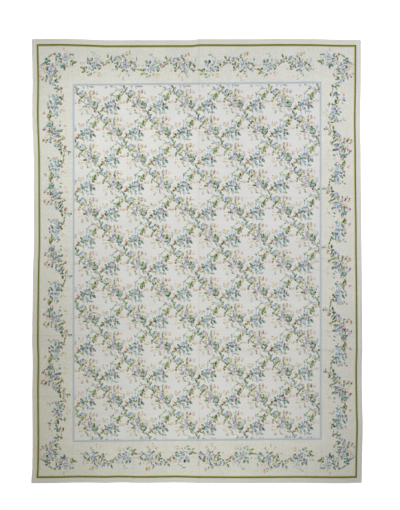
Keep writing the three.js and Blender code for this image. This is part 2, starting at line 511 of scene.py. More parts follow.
# light and dark yarn of each leaf or petal
tones = {
    "fern": (yarn(160, 174, 142), yarn(116, 137, 105)),
    "teal": (yarn(152, 175, 163), yarn(106, 138, 124)),
    "deepTeal": (yarn(140, 166, 153), yarn(92, 128, 114)),
    "slate": (yarn(168, 182, 186), yarn(126, 144, 150)),
    "deepSlate": (yarn(138, 154, 158), yarn(90, 108, 114)),
    "deepFern": (yarn(138, 150, 112), yarn(84, 98, 66)),
    "orange": (yarn(206, 160, 128), yarn(176, 116, 88)),
    "mist": (yarn(200, 209, 212), yarn(182, 194, 198)),
    "grey": (yarn(188, 197, 181), yarn(158, 171, 150)),
    "olive": (yarn(165, 173, 122), yarn(112, 124, 70)),
    "deepOlive": (yarn(146, 152, 96), yarn(106, 116, 56)),
    "moss": (yarn(192, 197, 160), yarn(164, 173, 132)),
    "straw": (yarn(211, 207, 170), yarn(191, 187, 140)),
    "cream": (yarn(218, 214, 191), yarn(208, 205, 177)),
    "peach": (yarn(220, 211, 196), yarn(208, 193, 175)),
    "blush": (yarn(215, 205, 196), yarn(204, 188, 177)),
    "rose": (yarn(207, 181, 174), yarn(188, 153, 148)),
    "red": (yarn(186, 147, 139), yarn(152, 103, 100)),
    "rust": (yarn(200, 182, 148), yarn(170, 148, 110)),
    "plum": (yarn(196, 174, 184), yarn(170, 142, 156)),
    "pink": (yarn(212, 190, 189), yarn(198, 168, 171)),
    "lilac": (yarn(199, 197, 206), yarn(180, 176, 189)),
    "sky": (yarn(194, 205, 214), yarn(168, 184, 200)),
    "iris": (yarn(172, 188, 200), yarn(140, 160, 176)),
}

# Field sprays: (shape, x, y, turn, long, wide, tone), in millimetres from the round flower and in
# degrees. Each row lies over those before it, and a spray is repeated about its middle.
sprays = {
    "roundFlower": {"middle": (-20, -10), "rows": [
        ("leaf", -62, 8, -62, 26, 12, "moss"),
        ("leaf", -53, 34, 50, 36, 16, "fern"),
        ("leaf", -57, 21, -72, 30, 16, "fern"),
        ("leaf", -48, -4, 8, 36, 19, "fern"),
        ("petal", -27, -8, 20, 40, 24, "mist"),
        ("leaf", -32, 5, 80, 26, 17, "slate"),
        ("leaf", -31, -22, -48, 32, 15, "slate"),
        ("petal", 8, -22, -32, 44, 22, "straw"),
        ("leaf", 10, -38, 4, 28, 13, "moss"),
        ("leaf", -12, -24, 20, 36, 17, "olive"),
        ("leaf", -19, -33, 72, 34, 18, "olive"),
        ("petal", -41, -70, 80, 34, 19, "rust"),
        ("leaf", -36, -54, 62, 28, 17, "fern"),
        ("leaf", -13, -66, -38, 32, 15, "grey"),
        ("leaf", 6, -56, -12, 28, 13, "grey"),
        ("petal", 24, 1, 84, 40, 11, "straw"),
        ("petal", -12, 0, 12, 36, 20, "sky"),
        ("petal", -6, 16, -14, 40, 18, "iris"),
        ("petal", 12, 4, 70, 26, 14, "plum"),
        ("leaf", 15, -8, 74, 24, 14, "rust"),
    ]},
    "petalPair": {"middle": (46, -60), "rows": [
        ("leaf", 64, 0, 84, 40, 14, "cream"),
        ("leaf", 52, 18, 70, 30, 14, "grey"),
        ("leaf", 48, 2, 96, 34, 15, "grey"),
        ("leaf", 54, -22, -66, 38, 18, "slate"),
        ("leaf", 52, -48, -72, 34, 18, "grey"),
        ("petal", 77, -6, 60, 22, 15, "peach"),
        ("petal", 80, 11, 96, 36, 17, "rose"),
        ("petal", 107, 3, 80, 32, 21, "blush"),
        ("petal", 96, -42, -10, 30, 14, "straw"),
        ("petal", 72, -44, 20, 30, 15, "straw"),
        ("petal", 84, -34, 70, 22, 17, "straw"),
        ("petal", 66, -60, 10, 24, 14, "cream"),
        ("petal", 36, -58, -60, 36, 22, "mist"),
        ("petal", 38, -38, -20, 26, 20, "pink"),
        ("petal", 38, -96, -72, 44, 19, "lilac"),
        ("petal", 57, -104, -70, 44, 18, "sky"),
        ("petal", 47, -80, -64, 50, 21, "iris"),
        ("petal", 3, -77, -30, 34, 19, "rose"),
        ("leaf", 20, -90, -36, 30, 15, "rust"),
        ("leaf", 24, -112, -60, 26, 13, "grey"),
        ("leaf", 8, -107, 4, 42, 20, "teal"),
        ("petal", 37, -124, -12, 34, 19, "pink"),
    ]},
    "posy": {"middle": (102, -106), "rows": [
        ("petal", 132, -62, 78, 32, 15, "lilac"),
        ("petal", 124, -50, 20, 22, 12, "mist"),
        ("petal", 107, -82, 80, 28, 19, "straw"),
        ("petal", 107, -65, 80, 24, 20, "peach"),
        ("petal", 128, -80, 32, 32, 18, "lilac"),
        ("leaf", 100, -98, 60, 28, 16, "teal"),
        ("petal", 82, -107, 0, 36, 13, "moss"),
        ("leaf", 78, -91, -20, 38, 18, "olive"),
        ("petal", 67, -75, -32, 30, 18, "rose"),
        ("leaf", 88, -78, -80, 42, 18, "teal"),
        ("leaf", 103, -124, 60, 34, 17, "fern"),
        ("leaf", 84, -122, -12, 46, 21, "teal"),
        ("leaf", 108, -109, 66, 40, 24, "teal"),
        ("petal", 102, -160, -45, 22, 14, "lilac"),
        ("petal", 93, -150, -48, 30, 19, "plum"),
    ]},
    "palePinks": {"middle": (12, -138), "rows": [
        ("petal", -33, -106, 10, 28, 15, "cream"),
        ("petal", -10, -128, 10, 34, 17, "cream"),
        ("petal", -36, -137, -30, 30, 16, "blush"),
        ("petal", -16, -166, 80, 38, 22, "blush"),
        ("petal", 14, -127, 10, 26, 12, "cream"),
        ("leaf", 23, -145, -50, 32, 15, "grey"),
        ("leaf", 30, -166, -30, 30, 16, "grey"),
        ("petal", 60, -142, 84, 32, 16, "cream"),
        ("petal", 58, -168, 88, 32, 15, "cream"),
    ]},
    "stem": {"middle": (112, -186), "rows": [
        ("petal", 118, -192, 10, 42, 18, "mist"),
        ("petal", 95, -206, -58, 34, 15, "mist"),
        ("leaf", 76, -188, -62, 34, 16, "grey"),
        ("leaf", 64, -201, 30, 32, 14, "grey"),
        ("petal", 118, -216, 0, 30, 24, "rose"),
        ("leaf", 129, -216, 20, 30, 14, "moss"),
        ("leaf", 116, -151, -46, 34, 12, "moss"),
        ("leaf", 131, -168, -60, 46, 19, "fern"),
    ]},
    "rosebud": {"middle": (172, -130), "rows": [
        ("petal", 152, -108, -72, 28, 16, "cream"),
        ("leaf", 174, -150, -30, 36, 17, "grey"),
        ("petal", 149, -120, -46, 32, 18, "peach"),
        ("leaf", 146, -143, 22, 38, 18, "olive"),
        ("petal", 160, -130, -40, 28, 22, "red"),
        ("leaf", 190, -130, 84, 34, 14, "mist"),
        ("leaf", 194, -150, -72, 42, 19, "moss"),
        ("petal", 197, -172, -76, 34, 16, "straw"),
        ("leaf", 182, -92, -34, 32, 17, "teal"),
        ("leaf", 187, -114, -8, 42, 24, "teal"),
    ]},
    "irisPair": {"middle": (244, -100), "rows": [
        ("leaf", 223, -46, 88, 90, 9, "mist"),
        ("leaf", 228, -14, -42, 30, 15, "grey"),
        ("leaf", 240, -1, 46, 30, 13, "grey"),
        ("petal", 250, -48, 80, 32, 20, "mist"),
        ("petal", 246, -70, 70, 30, 22, "slate"),
        ("leaf", 205, -80, -60, 30, 15, "grey"),
        ("petal", 222, -93, -30, 44, 22, "sky"),
        ("petal", 229, -79, -42, 36, 18, "iris"),
        ("leaf", 208, -104, 8, 42, 15, "fern"),
        ("petal", 213, -134, -62, 42, 25, "sky"),
        ("leaf", 224, -110, -42, 30, 14, "fern"),
        ("petal", 239, -108, 0, 26, 22, "rose"),
        ("petal", 228, -150, -62, 44, 19, "iris"),
        ("petal", 229, -172, -72, 38, 13, "sky"),
        ("leaf", 258, -114, 88, 32, 17, "teal"),
        ("leaf", 258, -97, 86, 36, 19, "teal"),
        ("leaf", 259, -132, -72, 46, 19, "teal"),
        ("leaf", 284, -124, -50, 44, 21, "deepTeal"),
        ("petal", 281, -94, 20, 28, 22, "pink"),
        ("petal", 262, -152, 0, 28, 11, "mist"),
        ("leaf", 256, -165, 24, 34, 15, "grey"),
        ("leaf", 272, -170, 8, 32, 15, "grey"),
    ]},
    "oliveSprig": {"middle": (292, -36), "rows": [
        ("petal", 295, 18, -70, 34, 14, "mist"),
        ("leaf", 257, -25, -22, 34, 16, "grey"),
        ("leaf", 272, -22, 10, 30, 11, "moss"),
        ("petal", 306, -24, 76, 42, 17, "straw"),
        ("leaf", 318, -12, 50, 28, 12, "moss"),
        ("leaf", 276, -42, -50, 40, 13, "moss"),
        ("leaf", 278, -58, -52, 36, 22, "fern"),
        ("leaf", 292, -42, -36, 44, 17, "fern"),
        ("leaf", 292, -20, 72, 40, 19, "deepOlive"),
        ("petal", 304, -74, 80, 22, 17, "straw"),
        ("petal", 320, -76, 70, 30, 22, "peach"),
        ("petal", 336, -76, 80, 24, 18, "blush"),
    ]},
    "peachBuds": {"middle": (180, -44), "rows": [
        ("petal", 180, -59, 10, 46, 16, "cream"),
        ("petal", 163, -48, 20, 30, 17, "cream"),
        ("petal", 187, -48, -20, 28, 16, "peach"),
        ("petal", 163, -35, -44, 26, 16, "blush"),
        ("petal", 195, -38, -68, 28, 18, "blush"),
    ]},
}

fieldRepeat = {
    "pitch": (403.3, 447.3),        # across and along, in millimetres
    "start": (-136.0, 518.0),       # a round flower's place from the rug's middle
    "order": ["stem", "palePinks", "peachBuds", "oliveSprig", "rosebud", "irisPair",
              "petalPair", "posy", "roundFlower"],
}

# Border sprays: (shape, along, in from the edge, turn, long, wide, tone), with the outer edge up.
# The middle of one that is repeated is its place along the border.
endSprays = {
    "flowerPart": {"middle": 740, "rows": [
        ("petal", 706, 146, 20, 46, 30, "mist"),
        ("leaf", 637, 162, 20, 28, 14, "slate"),
        ("leaf", 612, 173, 30, 26, 14, "teal"),
        ("leaf", 626, 138, -60, 32, 16, "deepFern"),
        ("leaf", 652, 148, 56, 40, 14, "fern"),
        ("leaf", 655, 162, 60, 22, 10, "olive"),
        ("petal", 648, 180, 10, 24, 11, "straw"),
        ("petal", 631, 184, 10, 20, 15, "red"),
        ("leaf", 664, 179, 20, 18, 13, "deepFern"),
        ("petal", 690, 144, 60, 24, 17, "iris"),
        ("petal", 708, 138, 10, 28, 18, "iris"),
        ("petal", 706, 153, -10, 32, 18, "lilac"),
        ("leaf", 684, 162, 5, 30, 15, "slate"),
        ("petal", 722, 146, 75, 24, 14, "plum"),
        ("leaf", 733, 157, -60, 26, 14, "deepOlive"),
        ("petal", 725, 166, 70, 26, 14, "straw"),
        ("petal", 740, 183, 40, 26, 16, "moss"),
        ("leaf", 688, 187, 20, 34, 15, "teal"),
        ("leaf", 707, 176, 40, 22, 14, "fern"),
        ("leaf", 706, 193, 84, 32, 14, "deepOlive"),
        ("petal", 700, 229, 80, 32, 20, "rust"),
        ("leaf", 697, 215, -50, 28, 15, "deepTeal"),
        ("leaf", 664, 239, 30, 18, 10, "mist"),
        ("leaf", 752, 117, 50, 30, 15, "grey"),
        ("leaf", 752, 137, -42, 34, 16, "teal"),
        ("leaf", 773, 156, -72, 40, 16, "slate"),
        ("leaf", 776, 174, -82, 28, 13, "slate"),
        ("petal", 757, 169, 80, 30, 14, "pink"),
        ("petal", 770, 122, 75, 26, 11, "cream"),
        ("petal", 785, 116, 80, 32, 16, "rose"),
        ("petal", 808, 106, 90, 30, 15, "rust"),
        ("petal", 793, 161, 70, 28, 13, "straw"),
        ("petal", 808, 146, 60, 24, 12, "cream"),
        ("petal", 757, 186, -30, 38, 22, "mist"),
        ("petal", 786, 191, -40, 34, 14, "sky"),
        ("petal", 772, 203, -48, 54, 21, "iris"),
        ("petal", 796, 219, -72, 48, 17, "sky"),
        ("petal", 800, 189, -18, 30, 15, "rose"),
        ("leaf", 814, 202, 58, 34, 14, "olive"),
        ("leaf", 822, 180, -44, 38, 18, "deepTeal"),
        ("petal", 834, 161, -48, 28, 15, "peach"),
        ("petal", 842, 183, 20, 26, 16, "straw"),
        ("leaf", 848, 195, -60, 28, 15, "teal"),
        ("leaf", 858, 206, -52, 30, 15, "deepTeal"),
        ("leaf", 865, 156, 86, 42, 11, "iris"),
        ("petal", 857, 183, 10, 18, 11, "sky"),
        ("leaf", 848, 219, 70, 34, 13, "moss"),
        ("leaf", 825, 224, -40, 26, 15, "slate"),
        ("leaf", 836, 234, -48, 30, 15, "teal"),
        ("leaf", 725, 208, 50, 40, 14, "deepTeal"),
        ("leaf", 757, 215, 40, 24, 11, "olive"),
        ("petal", 743, 220, 20, 27, 19, "rose"),
        ("leaf", 773, 229, 46, 38, 15, "slate"),
        ("leaf", 752, 244, 44, 28, 15, "deepTeal"),
        ("leaf", 776, 246, -10, 22, 11, "rust"),
        ("petal", 790, 245, 0, 20, 14, "rose"),
        ("petal", 859, 233, 18, 30, 17, "lilac"),
        ("petal", 849, 245, 10, 20, 13, "plum"),
        ("petal", 720, 283, 70, 28, 18, "cream"),
        ("petal", 731, 270, 80, 28, 10, "blush"),
        ("petal", 755, 306, 80, 28, 14, "blush"),
        ("petal", 753, 285, 84, 26, 9, "cream"),
        ("leaf", 785, 263, 40, 28, 15, "grey"),
        ("leaf", 798, 281, 80, 28, 15, "grey"),
    ]},
    "irisPart": {"middle": 985, "rows": [
        ("petal", 970, 239, 20, 44, 28, "mist"),
        ("leaf", 890, 239, -20, 60, 9, "rust"),
        ("leaf", 912, 243, -26, 46, 13, "olive"),
        ("leaf", 931, 235, 10, 28, 17, "teal"),
        ("leaf", 911, 267, 40, 34, 19, "olive"),
        ("leaf", 926, 255, 24, 36, 13, "moss"),
        ("leaf", 942, 270, 0, 36, 14, "grey"),
        ("leaf", 952, 293, 14, 28, 16, "moss"),
        ("leaf", 970, 286, 54, 26, 17, "slate"),
        ("petal", 902, 209, 0, 24, 14, "cream"),
        ("petal", 886, 203, -10, 26, 13, "blush"),
        ("petal", 917, 206, 80, 16, 10, "sky"),
        ("petal", 953, 198, 30, 34, 24, "lilac"),
        ("leaf", 951, 178, -62, 34, 18, "deepTeal"),
        ("leaf", 977, 178, 70, 36, 18, "deepTeal"),
        ("leaf", 966, 208, 80, 26, 16, "teal"),
        ("leaf", 999, 204, 88, 30, 11, "olive"),
        ("petal", 989, 207, -72, 26, 13, "pink"),
        ("leaf", 983, 121, 12, 30, 15, "grey"),
        ("leaf", 998, 139, 56, 30, 9, "grey"),
        ("leaf", 1008, 173, -66, 60, 7, "mist"),
        ("petal", 1019, 160, 86, 44, 19, "sky"),
        ("petal", 1024, 183, 70, 24, 14, "lilac"),
        ("petal", 1047, 162, 80, 34, 14, "straw"),
        ("petal", 1065, 170, 70, 24, 12, "blush"),
        ("petal", 1017, 192, 20, 26, 17, "sky"),
        ("leaf", 1010, 215, 12, 42, 18, "grey"),
        ("leaf", 1045, 183, -18, 40, 13, "grey"),
        ("leaf", 1059, 194, 30, 32, 13, "teal"),
        ("leaf", 1031, 211, 34, 30, 13, "teal"),
        ("leaf", 1046, 218, -40, 22, 13, "deepTeal"),
        ("petal", 1077, 221, -62, 30, 15, "peach"),
        ("petal", 1073, 205, -20, 30, 20, "rose"),
        ("leaf", 1091, 194, 52, 30, 13, "olive"),
        ("petal", 990, 234, -60, 40, 19, "iris"),
        ("petal", 1000, 228, -70, 26, 12, "sky"),
        ("leaf", 1010, 240, -50, 26, 15, "slate"),
        ("leaf", 1042, 240, 40, 34, 12, "deepTeal"),
        ("leaf", 1031, 230, -30, 22, 13, "slate"),
        ("leaf", 985, 255, 10, 26, 12, "grey"),
        ("petal", 1008, 267, 26, 34, 14, "peach"),
        ("petal", 1038, 270, 8, 28, 12, "straw"),
        ("petal", 1012, 282, -10, 30, 15, "cream"),
        ("petal", 1041, 292, -8, 30, 14, "peach"),
        ("petal", 1054, 280, 70, 22, 12, "cream"),
    ]},
}

sideSprays = {
    "flowerPart": {"middle": 1315, "rows": [
        ("petal", 1276, 202, 30, 50, 34, "mist"),
        ("leaf", 1206, 306, 0, 30, 11, "slate"),
        ("leaf", 1220, 304, 88, 46, 13, "fern"),
        ("leaf", 1220, 321, 10, 22, 12, "olive"),
        ("leaf", 1206, 272, 0, 60, 9, "moss"),
        ("leaf", 1229, 267, 24, 30, 11, "olive"),
        ("petal", 1240, 266, 60, 32, 19, "sky"),
        ("petal", 1237, 282, 80, 22, 12, "lilac"),
        ("leaf", 1268, 279, 70, 26, 11, "olive"),
        ("petal", 1256, 276, -40, 30, 22, "orange"),
        ("leaf", 1212, 246, 4, 42, 17, "deepFern"),
        ("leaf", 1242, 236, 82, 40, 17, "deepFern"),
        ("leaf", 1262, 240, -28, 34, 14, "fern"),
        ("leaf", 1278, 251, -44, 28, 13, "fern"),
        ("leaf", 1280, 228, -50, 36, 17, "deepSlate"),
        ("leaf", 1297, 239, -78, 30, 14, "deepSlate"),
        ("petal", 1266, 203, 70, 32, 17, "iris"),
        ("petal", 1281, 192, 12, 36, 18, "iris"),
        ("petal", 1290, 208, 40, 26, 16, "lilac"),
        ("leaf", 1316, 190, -18, 34, 14, "olive"),
        ("petal", 1298, 187, 10, 24, 18, "plum"),
        ("petal", 1312, 204, -28, 36, 21, "straw"),
        ("leaf", 1308, 217, 20, 26, 14, "olive"),
        ("leaf", 1320, 229, -50, 40, 15, "deepOlive"),
        ("leaf", 1318, 245, 30, 28, 12, "moss"),
        ("leaf", 1330, 252, -40, 32, 15, "fern"),
        ("petal", 1351, 257, 30, 24, 14, "straw"),
        ("petal", 1341, 265, 20, 32, 18, "rust"),
        ("leaf", 1350, 224, -76, 50, 14, "slate"),
        ("leaf", 1353, 205, -30, 22, 14, "deepTeal"),
        ("petal", 1368, 219, 20, 27, 21, "rose"),
        ("petal", 1358, 190, 20, 40, 20, "sky"),
        ("petal", 1377, 199, 0, 32, 17, "lilac"),
        ("petal", 1418, 179, 30, 46, 19, "iris"),
        ("petal", 1385, 187, 0, 44, 25, "iris"),
        ("leaf", 1392, 213, -80, 46, 18, "teal"),
        ("leaf", 1394, 236, -58, 32, 18, "deepTeal"),
        ("petal", 1421, 207, 60, 28, 14, "pink"),
        ("petal", 1340, 173, 30, 26, 20, "pink"),
        ("leaf", 1364, 168, 18, 32, 15, "deepTeal"),
        ("leaf", 1306, 155, -18, 32, 15, "deepTeal"),
        ("leaf", 1331, 157, 8, 40, 17, "slate"),
        ("leaf", 1309, 144, -40, 26, 9, "grey"),
        ("petal", 1312, 133, -20, 26, 11, "cream"),
        ("petal", 1309, 119, -30, 34, 15, "rose"),
        ("petal", 1325, 131, -28, 28, 14, "red"),
        ("leaf", 1340, 107, -60, 32, 14, "moss"),
        ("petal", 1326, 97, -8, 34, 19, "rust"),
        ("petal", 1361, 146, 84, 38, 14, "straw"),
        ("petal", 1363, 122, 60, 22, 13, "peach"),
        ("leaf", 1395, 141, 0, 50, 17, "deepTeal"),
        ("petal", 1391, 122, 10, 28, 17, "rose"),
        ("petal", 1413, 160, 60, 28, 17, "straw"),
        ("petal", 1391, 160, 0, 32, 21, "red"),
        ("leaf", 1426, 148, 84, 38, 19, "teal"),
        ("leaf", 1430, 122, -52, 30, 16, "deepTeal"),
        ("leaf", 1446, 133, -44, 28, 16, "deepTeal"),
        ("leaf", 1443, 149, 10, 36, 18, "teal"),
        ("leaf", 1446, 164, -18, 36, 15, "deepTeal"),
        ("petal", 1421, 110, -40, 26, 12, "lilac"),
        ("petal", 1409, 99, -34, 40, 19, "plum"),
        ("leaf", 1435, 226, 60, 24, 17, "teal"),
        ("petal", 1400, 274, 80, 28, 13, "cream"),
        ("petal", 1430, 277, 80, 28, 10, "cream"),
        ("petal", 1436, 266, 20, 24, 15, "blush"),
    ]},
    "irisPart": {"middle": 1565, "rows": [
        ("petal", 1640, 196, 0, 90, 34, "mist"),
        ("petal", 1550, 195, 10, 70, 30, "mist"),
        ("leaf", 1461, 228, 70, 22, 16, "grey"),
        ("petal", 1462, 128, 60, 22, 14, "peach"),
        ("petal", 1470, 164, 0, 30, 17, "pink"),
        ("petal", 1467, 148, -20, 24, 13, "plum"),
        ("leaf", 1484, 137, 40, 26, 14, "teal"),
        ("leaf", 1529, 157, 0, 56, 26, "moss"),
        ("leaf", 1522, 134, -60, 32, 16, "grey"),
        ("leaf", 1498, 133, 8, 40, 15, "olive"),
        ("leaf", 1505, 148, -10, 40, 16, "deepOlive"),
        ("leaf", 1545, 148, 0, 42, 15, "fern"),
        ("leaf", 1516, 178, -48, 30, 17, "grey"),
        ("petal", 1533, 97, 40, 28, 23, "rose"),
        ("leaf", 1512, 208, 50, 24, 18, "deepSlate"),
        ("leaf", 1496, 198, -70, 20, 11, "rust"),
        ("petal", 1553, 262, 80, 28, 12, "blush"),
        ("petal", 1544, 234, 30, 28, 15, "blush"),
        ("petal", 1562, 252, -70, 34, 12, "straw"),
        ("petal", 1535, 186, 8, 42, 17, "sky"),
        ("petal", 1562, 180, 70, 32, 19, "sky"),
        ("petal", 1585, 191, 0, 32, 24, "iris"),
        ("petal", 1586, 214, 20, 34, 19, "lilac"),
        ("leaf", 1572, 204, 42, 34, 13, "slate"),
        ("leaf", 1580, 163, 40, 30, 18, "teal"),
        ("petal", 1578, 142, -58, 30, 23, "plum"),
        ("leaf", 1604, 133, 0, 32, 16, "deepSlate"),
        ("leaf", 1604, 163, 70, 26, 15, "teal"),
        ("leaf", 1619, 155, 36, 38, 16, "deepTeal"),
        ("petal", 1650, 181, 50, 42, 22, "sky"),
        ("petal", 1675, 186, 20, 36, 22, "lilac"),
        ("petal", 1638, 203, 0, 50, 16, "sky"),
        ("leaf", 1638, 189, 30, 22, 13, "slate"),
        ("leaf", 1661, 148, 4, 32, 15, "grey"),
        ("leaf", 1680, 132, 50, 20, 14, "deepFern"),
        ("leaf", 1675, 170, 40, 28, 15, "grey"),
        ("petal", 1681, 207, 0, 28, 16, "straw"),
        ("leaf", 1606, 212, 84, 42, 18, "fern"),
        ("leaf", 1620, 229, -60, 36, 14, "fern"),
        ("leaf", 1604, 240, 30, 24, 16, "deepSlate"),
        ("leaf", 1642, 216, 0, 54, 12, "teal"),
        ("leaf", 1650, 237, 50, 34, 18, "deepTeal"),
        ("petal", 1642, 252, -44, 26, 17, "red"),
        ("petal", 1629, 265, 10, 18, 10, "peach"),
        ("leaf", 1664, 259, -20, 32, 14, "olive"),
        ("leaf", 1688, 263, -6, 48, 9, "olive"),
    ]},
}

cornerSprays = {
    "upperPart": {"rows": [
        ("petal", 276, 146, 0, 60, 44, "mist"),
        ("petal", 222, 179, 60, 54, 34, "mist"),
        ("petal", 262, 80, -70, 28, 15, "blush"),
        ("petal", 280, 103, 70, 30, 19, "blush"),
        ("leaf", 268, 113, 60, 20, 10, "moss"),
        ("leaf", 228, 116, -80, 40, 18, "deepTeal"),
        ("leaf", 205, 126, -60, 20, 10, "plum"),
        ("leaf", 218, 133, 20, 30, 13, "teal"),
        ("leaf", 198, 139, 40, 18, 11, "deepSlate"),
        ("leaf", 232, 146, 6, 34, 11, "olive"),
        ("leaf", 244, 155, -50, 36, 18, "teal"),
        ("petal", 256, 133, 10, 24, 15, "sky"),
        ("petal", 290, 128, 4, 44, 13, "lilac"),
        ("leaf", 279, 134, 10, 22, 11, "olive"),
        ("petal", 268, 155, 50, 30, 18, "iris"),
        ("petal", 287, 151, 70, 34, 24, "sky"),
        ("petal", 309, 132, 40, 20, 13, "cream"),
        ("petal", 320, 105, 60, 26, 17, "mist"),
        ("leaf", 314, 117, 10, 30, 9, "slate"),
        ("leaf", 333, 117, -8, 28, 12, "olive"),
        ("petal", 330, 138, 10, 40, 12, "mist"),
        ("petal", 290, 174, 20, 22, 13, "cream"),
        ("petal", 215, 174, 70, 30, 20, "lilac"),
        ("petal", 228, 167, 16, 38, 16, "iris"),
        ("petal", 213, 187, 68, 38, 21, "sky"),
        ("petal", 240, 173, 20, 28, 19, "rust"),
        ("petal", 253, 171, 10, 22, 16, "rose"),
        ("leaf", 272, 185, 0, 44, 17, "teal"),
        ("petal", 264, 203, 70, 30, 17, "slate"),
        ("leaf", 244, 203, 60, 38, 21, "deepTeal"),
        ("leaf", 265, 219, 78, 34, 15, "deepTeal"),
        ("petal", 286, 198, -60, 42, 18, "pink"),
        ("leaf", 198, 156, 84, 26, 15, "olive"),
        ("leaf", 195, 175, 86, 40, 13, "moss"),
        ("leaf", 313, 188, 80, 38, 13, "grey"),
        ("leaf", 331, 188, -80, 32, 15, "fern"),
        ("leaf", 334, 170, 60, 30, 12, "moss"),
        ("leaf", 322, 164, 40, 22, 15, "deepFern"),
        ("leaf", 350, 173, 14, 44, 18, "deepOlive"),
        ("leaf", 336, 151, 40, 24, 10, "moss"),
        ("petal", 375, 228, 10, 24, 13, "peach"),
        ("petal", 330, 237, 50, 22, 13, "blush"),
        ("petal", 222, 248, 40, 20, 11, "blush"),
    ]},
    "lowerPart": {"rows": [
        ("petal", 157, 217, 60, 70, 44, "mist"),
        ("petal", 150, 265, 80, 60, 34, "mist"),
        ("petal", 168, 335, -46, 50, 26, "mist"),
        ("leaf", 151, 125, 34, 64, 10, "olive"),
        ("petal", 175, 115, 10, 20, 12, "straw"),
        ("petal", 187, 112, 70, 26, 17, "red"),
        ("leaf", 118, 148, 0, 38, 15, "deepTeal"),
        ("leaf", 138, 158, -38, 36, 19, "teal"),
        ("leaf", 117, 171, 14, 40, 18, "deepTeal"),
        ("leaf", 96, 183, 6, 34, 13, "slate"),
        ("leaf", 115, 186, 0, 38, 14, "deepSlate"),
        ("leaf", 141, 185, 0, 34, 13, "deepTeal"),
        ("petal", 65, 200, 40, 24, 15, "lilac"),
        ("petal", 78, 194, 10, 24, 12, "plum"),
        ("petal", 73, 215, 86, 38, 17, "mist"),
        ("petal", 100, 195, 40, 26, 13, "straw"),
        ("petal", 95, 214, 88, 38, 17, "blush"),
        ("leaf", 118, 217, 80, 36, 19, "deepSlate"),
        ("leaf", 129, 206, 20, 24, 12, "olive"),
        ("petal", 131, 225, -72, 34, 15, "red"),
        ("petal", 155, 199, 40, 34, 24, "lilac"),
        ("petal", 167, 209, -40, 32, 17, "iris"),
        ("petal", 152, 220, 20, 36, 24, "sky"),
        ("petal", 170, 225, 60, 28, 17, "lilac"),
        ("petal", 152, 237, 10, 36, 18, "iris"),
        ("petal", 172, 192, -58, 28, 14, "pink"),
        ("petal", 187, 201, 30, 22, 14, "rose"),
        ("leaf", 190, 219, 60, 24, 14, "teal"),
        ("leaf", 203, 233, 0, 32, 14, "deepTeal"),
        ("leaf", 184, 237, 84, 34, 13, "olive"),
        ("petal", 187, 254, 18, 27, 14, "red"),
        ("petal", 114, 245, -14, 54, 12, "straw"),
        ("leaf", 137, 255, 60, 38, 18, "slate"),
        ("petal", 156, 256, 0, 30, 17, "sky"),
        ("petal", 67, 272, 60, 24, 19, "rose"),
        ("petal", 98, 297, 50, 26, 11, "cream"),
        ("petal", 87, 291, 52, 34, 17, "rose"),
        ("leaf", 112, 302, 64, 42, 18, "grey"),
        ("leaf", 122, 274, -62, 32, 18, "slate"),
        ("petal", 145, 271, 10, 28, 14, "pink"),
        ("leaf", 166, 270, 10, 30, 14, "teal"),
        ("leaf", 186, 272, -10, 42, 12, "teal"),
        ("petal", 200, 262, 60, 22, 13, "sky"),
        ("petal", 160, 291, 80, 32, 20, "straw"),
        ("petal", 145, 307, 60, 26, 18, "moss"),
        ("petal", 147, 321, 70, 27, 16, "plum"),
        ("petal", 157, 326, -50, 32, 16, "iris"),
        ("petal", 168, 339, -44, 42, 16, "sky"),
        ("leaf", 180, 314, -20, 28, 12, "lilac"),
        ("leaf", 193, 304, 60, 40, 16, "deepOlive"),
        ("leaf", 204, 318, 8, 34, 14, "teal"),
        ("leaf", 220, 293, 40, 32, 12, "grey"),
        ("petal", 229, 279, 30, 30, 15, "rust"),
        ("leaf", 186, 340, -46, 30, 13, "slate"),
        ("leaf", 209, 341, -18, 26, 11, "grey"),
        ("leaf", 208, 349, -60, 28, 12, "fern"),
        ("leaf", 203, 368, -16, 40, 15, "fern"),
        ("leaf", 188, 373, 30, 26, 12, "deepFern"),
        ("leaf", 217, 379, 10, 28, 11, "fern"),
        ("leaf", 206, 394, 84, 26, 11, "grey"),
        ("leaf", 227, 375, 30, 16, 8, "olive"),
        ("petal", 239, 367, 80, 22, 18, "red"),
        ("leaf", 238, 402, 80, 44, 7, "olive"),
    ]},
}

